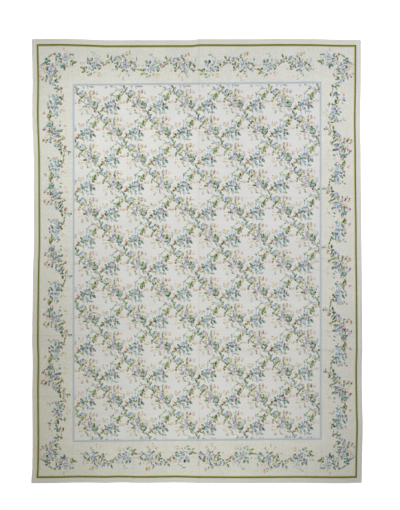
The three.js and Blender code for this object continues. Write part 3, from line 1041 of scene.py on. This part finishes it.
joinSprays = {
    "joinPart": {"rows": [
        ("petal", 600, 215, 0, 100, 50, "mist"),
        ("petal", 560, 232, 0, 60, 36, "mist"),
        ("petal", 436, 212, 0, 60, 34, "mist"),
        ("leaf", 398, 202, 10, 28, 12, "grey"),
        ("leaf", 393, 219, -20, 26, 11, "fern"),
        ("leaf", 412, 206, 40, 28, 12, "deepFern"),
        ("leaf", 406, 242, -50, 24, 12, "olive"),
        ("petal", 410, 161, 10, 32, 17, "blush"),
        ("petal", 436, 143, 0, 26, 13, "rose"),
        ("petal", 424, 252, -24, 36, 16, "rust"),
        ("petal", 434, 254, -20, 20, 13, "red"),
        ("leaf", 430, 189, 80, 32, 13, "slate"),
        ("leaf", 423, 208, 60, 30, 13, "teal"),
        ("leaf", 426, 223, -36, 50, 14, "slate"),
        ("leaf", 440, 230, -40, 32, 12, "teal"),
        ("leaf", 446, 204, 26, 36, 15, "deepTeal"),
        ("leaf", 461, 194, 20, 28, 12, "fern"),
        ("petal", 464, 143, 6, 28, 15, "sky"),
        ("leaf", 480, 138, 80, 38, 12, "deepSlate"),
        ("petal", 504, 151, 10, 20, 13, "rose"),
        ("petal", 478, 168, 60, 26, 14, "mist"),
        ("leaf", 488, 185, -14, 36, 12, "grey"),
        ("petal", 482, 197, 0, 32, 14, "straw"),
        ("leaf", 488, 212, 0, 34, 19, "deepOlive"),
        ("leaf", 505, 200, -80, 26, 12, "fern"),
        ("leaf", 516, 216, -46, 30, 15, "fern"),
        ("leaf", 528, 202, 70, 28, 15, "teal"),
        ("leaf", 514, 238, 20, 26, 15, "deepFern"),
        ("leaf", 508, 264, 0, 32, 13, "deepOlive"),
        ("leaf", 526, 264, -6, 28, 11, "grey"),
        ("petal", 524, 278, 0, 22, 12, "sky"),
        ("petal", 543, 170, 80, 28, 13, "mist"),
        ("petal", 556, 185, 20, 28, 20, "plum"),
        ("leaf", 577, 167, 80, 26, 18, "deepTeal"),
        ("leaf", 597, 184, 46, 42, 15, "teal"),
        ("leaf", 572, 204, 10, 28, 15, "deepTeal"),
        ("leaf", 548, 216, -10, 28, 12, "slate"),
        ("petal", 593, 211, 0, 24, 15, "rose"),
        ("petal", 562, 224, 10, 26, 15, "iris"),
        ("petal", 574, 240, 80, 28, 16, "lilac"),
        ("petal", 590, 234, 20, 34, 28, "sky"),
        ("leaf", 610, 233, -50, 46, 15, "slate"),
        ("leaf", 594, 254, 60, 22, 12, "olive"),
        ("leaf", 628, 205, 10, 28, 13, "teal"),
        ("petal", 624, 220, 70, 32, 20, "iris"),
        ("leaf", 637, 245, -62, 40, 14, "fern"),
        ("leaf", 620, 264, 70, 26, 17, "deepTeal"),
        ("petal", 632, 151, 0, 22, 14, "mist"),
        ("leaf", 641, 143, 10, 28, 11, "grey"),
        ("leaf", 648, 131, 70, 20, 9, "grey"),
        ("leaf", 648, 165, -60, 36, 12, "slate"),
        ("petal", 654, 190, 10, 34, 20, "lilac"),
        ("leaf", 650, 215, 0, 26, 15, "olive"),
        ("leaf", 660, 236, 84, 44, 14, "fern"),
        ("petal", 668, 210, 0, 26, 13, "straw"),
        ("petal", 566, 284, 30, 28, 13, "blush"),
        ("petal", 581, 306, 80, 28, 16, "peach"),
        ("petal", 604, 296, 10, 28, 13, "cream"),
        ("petal", 664, 268, 84, 28, 16, "red"),
        ("leaf", 682, 266, 0, 28, 15, "fern"),
        ("leaf", 703, 252, 20, 28, 11, "grey"),
    ]},
}

# Each garland runs clockwise round the rug, in millimetres from the corner that it starts at. The
# corner spray is mirrored at each corner, and the join leads from it to the garland of a long side.
garlands = {
    "end": {"sprays": endSprays, "order": ["irisPart", "flowerPart"], "pitch": 481.0},
    "side": {"sprays": sideSprays, "order": ["irisPart", "flowerPart"], "pitch": 512.0},
    "join": {"sprays": joinSprays, "order": ["joinPart"], "pitch": None},
    "corner": {"sprays": cornerSprays, "order": ["lowerPart", "upperPart"], "pitch": None},
}

perMetre = 1000.0                   # millimetres

weave = {
    "stitch": (3.2, 2.8),           # one stitch, across and along, in millimetres
    "wander": 3.0,                  # how far hand work strays from its chart, in millimetres
    "wanderPace": 30.0,             # how fast that changes
    "fieldFullness": 1.06,          # leaves and petals are woven this much wider than charted
    "borderFullness": 1.11,
    "petalBase": -0.15,             # where a petal's darker base ends, its ends being -1 and 1
    "stitchShade": 0.10,            # difference in shade from stitch to stitch
    "weftShade": 0.070,             # and from weft to weft
    "weftPace": (1.5, 150.0),       # how fast that changes, across and along
    "mottle": 0.10,                 # and from place to place
    "mottlePace": 5.0,
    "bandShade": 0.044,             # and in bands across the rug
    "bandPace": (0.9, 22.0),
    "fleck": 4.3,                   # light and dark flecks in the darker yarns
    "fleckSize": (6.4, 8.4),        # across and along, in millimetres
    "relief": 0.0005,               # height of a stitch, in metres
    "reliefStrength": 0.5,
    "stitchRound": 0.6,             # less makes a stitch flatter on top
    "fuzz": 0.5,                    # the yarn's own roughness, next to a stitch's height of 1
    "fuzzPace": 420.0,
    "roughness": 0.93,
    "gloss": 0.2,
    "sheen": 0.12,
    "sheenRoughness": 0.5,
}

# Yellower places and patches of painted shade, in metres from the chart's middle: the first is yellower
# and a little darker, the others are painted shade
yellowingAndPaintedShade = [
    {"at": (-1.45, -1.30), "reach": (0.80, 1.70), "tint": (1.005, 0.990, 0.925)},
    {"at": (-1.40, -0.65), "reach": (0.45, 0.80), "tint": (0.970, 0.970, 0.975)},
    {"at": (1.35, -0.80), "reach": (0.45, 0.60), "tint": (0.955, 0.955, 0.965)},
    {"at": (1.35, 0.62), "reach": (0.40, 0.55), "tint": (0.980, 0.980, 0.980)},
]


def shapeFrame(outline, up, fullness):
    # two vectors that turn (x, y, 1) into the place in a leaf or petal of half length 1;
    # up is -1 in a border, whose second measure runs inwards from the edge
    x, y, turn, long, wide = outline
    c, s = math.cos(math.radians(turn)), math.sin(math.radians(turn))
    wide *= fullness
    along = (2 * c / long, 2 * up * s / long, -2 * (x * c + up * y * s) / long)
    across = (-2 * s / wide, 2 * up * c / wide, 2 * (x * s - up * y * c) / wide)
    return along, across


def makeShapeGroup(shape):
    inputs = {"Place": "Vector", "Along": "Vector", "Across": "Vector", "Under": "Color",
              "Light": "Color", "Dark": "Color"}
    tree, given = startGroup("shape " + shape, inputs, {"Colour": "Color"})
    along = vectorMaths(tree, "DOT_PRODUCT", given["Place"], given["Along"])
    across = vectorMaths(tree, "DOT_PRODUCT", given["Place"], given["Across"])
    if shape == "leaf":
        # pointed at both ends, its two halves in two shades
        beside = maths(tree, "ABSOLUTE", across)
        light = maths(tree, "GREATER_THAN", across, 0.0)
    else:
        # oval, darker towards its base
        beside = maths(tree, "MULTIPLY", across, across)
        light = maths(tree, "GREATER_THAN", along, weave["petalBase"])
    tone = mixColour(tree, light, given["Dark"], given["Light"])
    inside = maths(tree, "LESS_THAN", maths(tree, "MULTIPLY_ADD", along, along, beside), 1.0)
    return endGroup(tree, Colour=mixColour(tree, inside, given["Under"], tone))


shapeGroups = {shape: makeShapeGroup(shape) for shape in ("leaf", "petal")}


def makeSprayGroup(name, spray, up, fullness):
    inputs = {"Place": "Vector", "Under": "Color"}
    tree, given = startGroup("spray " + name, inputs, {"Colour": "Color"})
    colour = given["Under"]
    for shape, *outline, tone in spray["rows"]:
        along, across = shapeFrame(outline, up, fullness)
        light, dark = tones[tone]
        colour = useGroup(tree, shapeGroups[shape], Place=given["Place"], Along=along, Across=across,
                          Under=colour, Light=light, Dark=dark)["Colour"]
    return endGroup(tree, Colour=colour)


def makeStitchPlaceGroup():
    # a place in metres to the middle of its stitch in millimetres, (x, y, 1), after some wandering
    tree, given = startGroup("stitch place", {"Cloth": "Vector"}, {"Place": "Vector"})
    stray = softNoise(tree, given["Cloth"], scale=weave["wanderPace"], detail=3.0)["Color"]
    stray = vectorMaths(tree, "SUBTRACT", stray, (0.5, 0.5, 0.5))
    straySize = 4 * weave["wander"]     # the noise mostly stays within a quarter of its middle
    stray = vectorMaths(tree, "MULTIPLY", stray, (straySize, straySize, 0))
    toMillimetres = (perMetre, perMetre, 0)
    place = vectorMaths(tree, "MULTIPLY_ADD", given["Cloth"], toMillimetres, stray)
    wide, high = weave["stitch"]
    place = vectorMaths(tree, "SNAP", place, (wide, high, 1))
    place = vectorMaths(tree, "ADD", place, (wide / 2, high / 2, 1))
    return endGroup(tree, Place=place)


def nearestStep(tree, distance, pitch):
    return maths(tree, "ROUND", maths(tree, "DIVIDE", distance, pitch))


def makeHalfDropGroup():
    # brings a place to the nearest copy of a spray in the half-drop repeat
    inputs = {"Place": "Vector", "Middle": "Vector"}
    tree, given = startGroup("half drop", inputs, {"Place": "Vector"})
    pitchX, pitchY = fieldRepeat["pitch"]
    place = vectorMaths(tree, "SUBTRACT", given["Place"], given["Middle"])
    place = vectorMaths(tree, "SUBTRACT", place, (*fieldRepeat["start"], 0))
    parts = splitVector(tree, place)
    row = nearestStep(tree, parts["Y"], pitchY / 2)
    y = maths(tree, "MULTIPLY_ADD", row, -pitchY / 2, parts["Y"])
    x = maths(tree, "MULTIPLY_ADD", row, -pitchX / 2, parts["X"])
    x = maths(tree, "MULTIPLY_ADD", nearestStep(tree, x, pitchX), -pitchX, x)
    middle = vectorMaths(tree, "MULTIPLY", given["Middle"], (1, 1, 0))
    return endGroup(tree, Place=vectorMaths(tree, "ADD", joinVector(tree, x, y, 1.0), middle))


def makeRunGroup():
    # brings a border place to the nearest copy of a spray along the garland
    inputs = {"Place": "Vector", "Middle": "Float", "Pitch": "Float"}
    tree, given = startGroup("garland run", inputs, {"Place": "Vector"})
    parts = splitVector(tree, given["Place"])
    beside = maths(tree, "SUBTRACT", parts["X"], given["Middle"])
    back = maths(tree, "MULTIPLY", nearestStep(tree, beside, given["Pitch"]), given["Pitch"])
    along = maths(tree, "SUBTRACT", parts["X"], back)
    return endGroup(tree, Place=joinVector(tree, along, parts["Y"], 1.0))


def makeBandGroup():
    # hem, olive stripe and blue line over the border's colour
    inputs = {"Depth": "Float", "Under": "Color"}
    tree, given = startGroup("bands", inputs, {"Colour": "Color"})
    colour = given["Under"]
    for operation, bands in (("GREATER_THAN", innerBands), ("LESS_THAN", outerBands)):
        for depth, tone in bands:
            inside = maths(tree, operation, given["Depth"], depth)
            colour = mixColour(tree, inside, colour, tone)
    return endGroup(tree, Colour=colour)


def makeFleckGroup():
    # light and dark flecks in the flowers, stronger in the darker yarns
    inputs = {"Place": "Vector", "Colour": "Color"}
    tree, given = startGroup("flecks", inputs, {"Colour": "Color"})
    fleck = spotNoise(tree, vectorMaths(tree, "SNAP", given["Place"], (*weave["fleckSize"], 1)))
    light = addNode(tree, "ShaderNodeRGBToBW", {"Color": given["Colour"]}).outputs[0]
    dyed = maths(tree, "MULTIPLY_ADD", light, -weave["fleck"], ivory[1] * weave["fleck"])
    shade = vary(tree, 1.0, fleck, dyed)
    return endGroup(tree, Colour=shadeColour(tree, given["Colour"], shade))


def makeFinishGroup():
    # stitch, weft and slow shade differences over the charted colour, and the relief of the weave
    inputs = {"Cloth": "Vector", "Place": "Vector", "Colour": "Color"}
    tree, given = startGroup("weave finish", inputs, {"Colour": "Color", "Height": "Float"})
    stretched = vectorMaths(tree, "MULTIPLY", given["Cloth"], (*weave["weftPace"], 0))
    weft = softNoise(tree, stretched, scale=1.0, detail=1.0)[0]
    slow = softNoise(tree, given["Cloth"], scale=weave["mottlePace"], detail=3.0)[0]
    shade = vary(tree, 1.0, spotNoise(tree, given["Place"]), weave["stitchShade"])
    shade = vary(tree, shade, weft, weave["weftShade"])
    shade = vary(tree, shade, slow, weave["mottle"])
    # a hump for each stitch, and the yarn's fuzz on it
    halfTurn = [perMetre * math.pi / size for size in weave["stitch"]]
    phase = vectorMaths(tree, "MULTIPLY", given["Cloth"], (*halfTurn, 0))
    parts = splitVector(tree, vectorMaths(tree, "ABSOLUTE", vectorMaths(tree, "SINE", phase)))
    hump = maths(tree, "MULTIPLY", parts["X"], parts["Y"])
    hump = maths(tree, "POWER", hump, weave["stitchRound"])
    fuzz = softNoise(tree, given["Cloth"], scale=weave["fuzzPace"], detail=2.0)[0]
    height = maths(tree, "MULTIPLY_ADD", fuzz, weave["fuzz"], hump)
    return endGroup(tree, Colour=shadeColour(tree, given["Colour"], shade), Height=height)


def paintFoldShade(tree, colour, fold, across, along):
    # paints shade along the crest of one fold, given the distances across the folds and along them
    distance = maths(tree, "ABSOLUTE", maths(tree, "SUBTRACT", across, fold["at"]))
    share = ramp(tree, distance, 0.0, foldLook["foldShadeReach"], 1.0, 0.0)
    start, stop, fade = fold["start"], fold["stop"], foldLook["fade"]
    if start > -halfWidth:
        share = maths(tree, "MULTIPLY", share, ramp(tree, along, start, start + fade, 0.0, 1.0))
    if stop < halfWidth:
        share = maths(tree, "MULTIPLY", share, ramp(tree, along, stop - fade, stop, 1.0, 0.0))
    return mixColour(tree, share, colour, (*foldLook["foldShadeTint"], 1.0), blend="MULTIPLY")


def makeYellowingAndShadeGroup():
    # yellower places and patches of painted shade, painted shade on the folds' crests and bands of
    # shade, by the chart's place in metres
    inputs = {"Chart": "Vector", "Colour": "Color"}
    tree, given = startGroup("yellowingAndShade", inputs, {"Colour": "Color"})
    colour = given["Colour"]
    # each place multiplies its tint in: yellower for the first, painted shade for the others
    for place in yellowingAndPaintedShade:
        wide, high = place["reach"]
        offset = vectorMaths(tree, "SUBTRACT", given["Chart"], (*place["at"], 0))
        offset = vectorMaths(tree, "MULTIPLY", offset, (1 / wide, 1 / high, 0))
        share = ramp(tree, vectorMaths(tree, "LENGTH", offset), 0.0, 1.0, 1.0, 0.0)
        colour = mixColour(tree, share, colour, (*place["tint"], 1.0), blend="MULTIPLY")
    # the folds' lines are woven places, and level is one along the rug
    parts = splitVector(tree, given["Chart"])
    level = maths(tree, "MULTIPLY_ADD", parts["X"], rug["skew"], parts["Y"])
    level = maths(tree, "ADD", level, fieldMiddle)
    # painted shade along the crest of each fold
    for fold in foldsAlong:
        colour = paintFoldShade(tree, colour, fold, parts["X"], level)
    for fold in foldsAcross:
        colour = paintFoldShade(tree, colour, fold, level, parts["X"])
    stretched = vectorMaths(tree, "MULTIPLY", given["Chart"], (*weave["bandPace"], 0))
    bands = softNoise(tree, stretched, scale=1.0, detail=1.5)[0]
    shade = vary(tree, 1.0, bands, weave["bandShade"])
    return endGroup(tree, Colour=shadeColour(tree, colour, shade))


stitchPlaceGroup = makeStitchPlaceGroup()
halfDropGroup = makeHalfDropGroup()
runGroup = makeRunGroup()
bandGroup = makeBandGroup()
fleckGroup = makeFleckGroup()
yellowingAndShadeGroup = makeYellowingAndShadeGroup()
finishGroup = makeFinishGroup()


def readMap(tree, name):
    return addNode(tree, "ShaderNodeUVMap", uv_map=name).outputs[0]


def startWool(kind, mapName, ground):
    material, tree = startMaterial(kind + "Wool")
    cloth = readMap(tree, mapName)
    place = useGroup(tree, stitchPlaceGroup, Cloth=cloth)["Place"]
    colour = addNode(tree, "ShaderNodeRGB").outputs[0]
    colour.default_value = ground
    return material, tree, cloth, place, colour


def endWool(tree, cloth, place, colour):
    finished = useGroup(tree, finishGroup, Cloth=cloth, Place=place, Colour=colour)
    bump = addNode(tree, "ShaderNodeBump", {"Height": finished["Height"], "Distance": weave["relief"],
                                            "Strength": weave["reliefStrength"]})
    endMaterial(tree, addNode(tree, "ShaderNodeBsdfPrincipled", {
        "Base Color": finished["Colour"], "Roughness": weave["roughness"],
        "Specular IOR Level": weave["gloss"], "Sheen Weight": weave["sheen"],
        "Sheen Roughness": weave["sheenRoughness"], "Normal": bump.outputs[0]}))


def makeFieldWool():
    material, tree, cloth, place, colour = startWool("field", "weave", ivory)
    for name in fieldRepeat["order"]:
        middle = (*sprays[name]["middle"], 0)
        near = useGroup(tree, halfDropGroup, Place=place, Middle=middle)["Place"]
        group = makeSprayGroup(name, sprays[name], 1, weave["fieldFullness"])
        colour = useGroup(tree, group, Place=near, Under=colour)["Colour"]
    colour = useGroup(tree, fleckGroup, Place=place, Colour=colour)["Colour"]
    colour = useGroup(tree, yellowingAndShadeGroup, Chart=cloth, Colour=colour)["Colour"]
    endWool(tree, cloth, place, colour)
    return material


def makeBorderWool(kind):
    material, tree, cloth, place, colour = startWool(kind, "border", cream)
    garland = garlands[kind]
    for name in garland["order"]:
        spray = garland["sprays"][name]
        near = place
        if garland["pitch"]:
            near = useGroup(tree, runGroup, Place=place, Middle=spray["middle"],
                            Pitch=garland["pitch"])["Place"]
        group = makeSprayGroup(kind + " " + name, spray, -1, weave["borderFullness"])
        colour = useGroup(tree, group, Place=near, Under=colour)["Colour"]
    colour = useGroup(tree, fleckGroup, Place=place, Colour=colour)["Colour"]
    chart = readMap(tree, "weave")
    fromMiddle = vectorMaths(tree, "ABSOLUTE", chart)
    parts = splitVector(tree, vectorMaths(tree, "SUBTRACT", (halfWidth, chartHalf, 0), fromMiddle))
    depth = maths(tree, "MULTIPLY", maths(tree, "MINIMUM", parts["X"], parts["Y"]), perMetre)
    colour = useGroup(tree, bandGroup, Depth=depth, Under=colour)["Colour"]
    colour = useGroup(tree, yellowingAndShadeGroup, Chart=chart, Colour=colour)["Colour"]
    endWool(tree, cloth, place, colour)
    return material


def makeBackWool():
    material, tree, cloth, place, colour = startWool("back", "weave", cream)
    endWool(tree, cloth, place, colour)
    return material


def makeRug():
    cloth = addObject("rugCloth", makeRugMesh())
    borderWools = [makeBorderWool(kind) for kind in weaves[1:-1]]
    for material in (makeFieldWool(), *borderWools, makeBackWool()):
        cloth.data.materials.append(material)
    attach(cloth, "root")
    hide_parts("rug")


# Floor, light and camera

studio = {
    "floorHalf": 150.0,
    "floorDrop": 0.0006,
    "floorColour": (0.86, 0.86, 0.86, 1.0),
    "floorGlow": 0.62,
    "floorRoughness": 0.9,
    "floorGloss": 0.1,
    "skyStrength": 0.15,
}

# Soft lamps that face straight down, with the near corners of the rug furthest from them
lamps = [
    {"name": "lampLeft", "at": (-1.0, 1.09, 1.85), "size": 0.9, "power": 19.5,
     "colour": (1.0, 0.985, 0.95)},
    {"name": "lampRight", "at": (1.65, 1.34, 2.95), "size": 1.2, "power": 60.0,
     "colour": (1.0, 0.993, 1.03)},
    {"name": "lampNear", "at": (-0.06, -1.55, 2.25), "size": 1.0, "power": 28.0,
     "colour": (1.0, 0.975, 0.92)},
]

view = {
    "pixel": 0.008336,              # size on the rug of one pixel of a 400 by 510 picture
    "long": 510,
    "lens": 85.0,
    "sensor": 36.0,
    "aim": (0.024, 0.050),          # the picture's middle, from the rug's middle
}


def makeFloor():
    half, drop = studio["floorHalf"], studio["floorDrop"]
    mesh = bpy.data.meshes.new("floor")
    corners = [(-half, -half, -drop), (half, -half, -drop), (half, half, -drop), (-half, half, -drop)]
    mesh.from_pydata(corners, [], [(0, 1, 2, 3)])
    material, tree = startMaterial("paleFloor")
    endMaterial(tree, addNode(tree, "ShaderNodeBsdfPrincipled", {
        "Base Color": studio["floorColour"], "Roughness": studio["floorRoughness"],
        "Specular IOR Level": studio["floorGloss"],
        "Emission Color": (1, 1, 1, 1), "Emission Strength": studio["floorGlow"]}))
    mesh.materials.append(material)
    addObject("floor", mesh)


def makeLights():
    world = bpy.data.worlds.new("studioSky")
    bpy.context.scene.world = world
    world.use_nodes = True
    sky = world.node_tree.nodes["Background"]
    sky.inputs["Color"].default_value = (1, 1, 1, 1)
    sky.inputs["Strength"].default_value = studio["skyStrength"]
    for row in lamps:
        lamp = bpy.data.lights.new(row["name"], "AREA")
        lamp.shape = "DISK"
        lamp.size = row["size"]
        lamp.energy = row["power"]
        lamp.color = row["colour"]
        placed = addObject(row["name"], lamp)
        placed.location = row["at"]
        placed.visible_camera = False


def makeCamera():
    lens = bpy.data.cameras.new("camera")
    lens.lens = view["lens"]
    lens.sensor_width = view["sensor"]
    distance = view["pixel"] * view["long"] * view["lens"] / view["sensor"]
    camera = addObject("camera", lens)
    camera.location = (*view["aim"], rug["thickness"] + distance)
    bpy.context.scene.camera = camera


makeCamera()
print("camera made")
makeRug()
print("rug made")
makeFloor()
makeLights()
bpy.context.scene.view_settings.view_transform = "Standard"
print("floor and lights made")
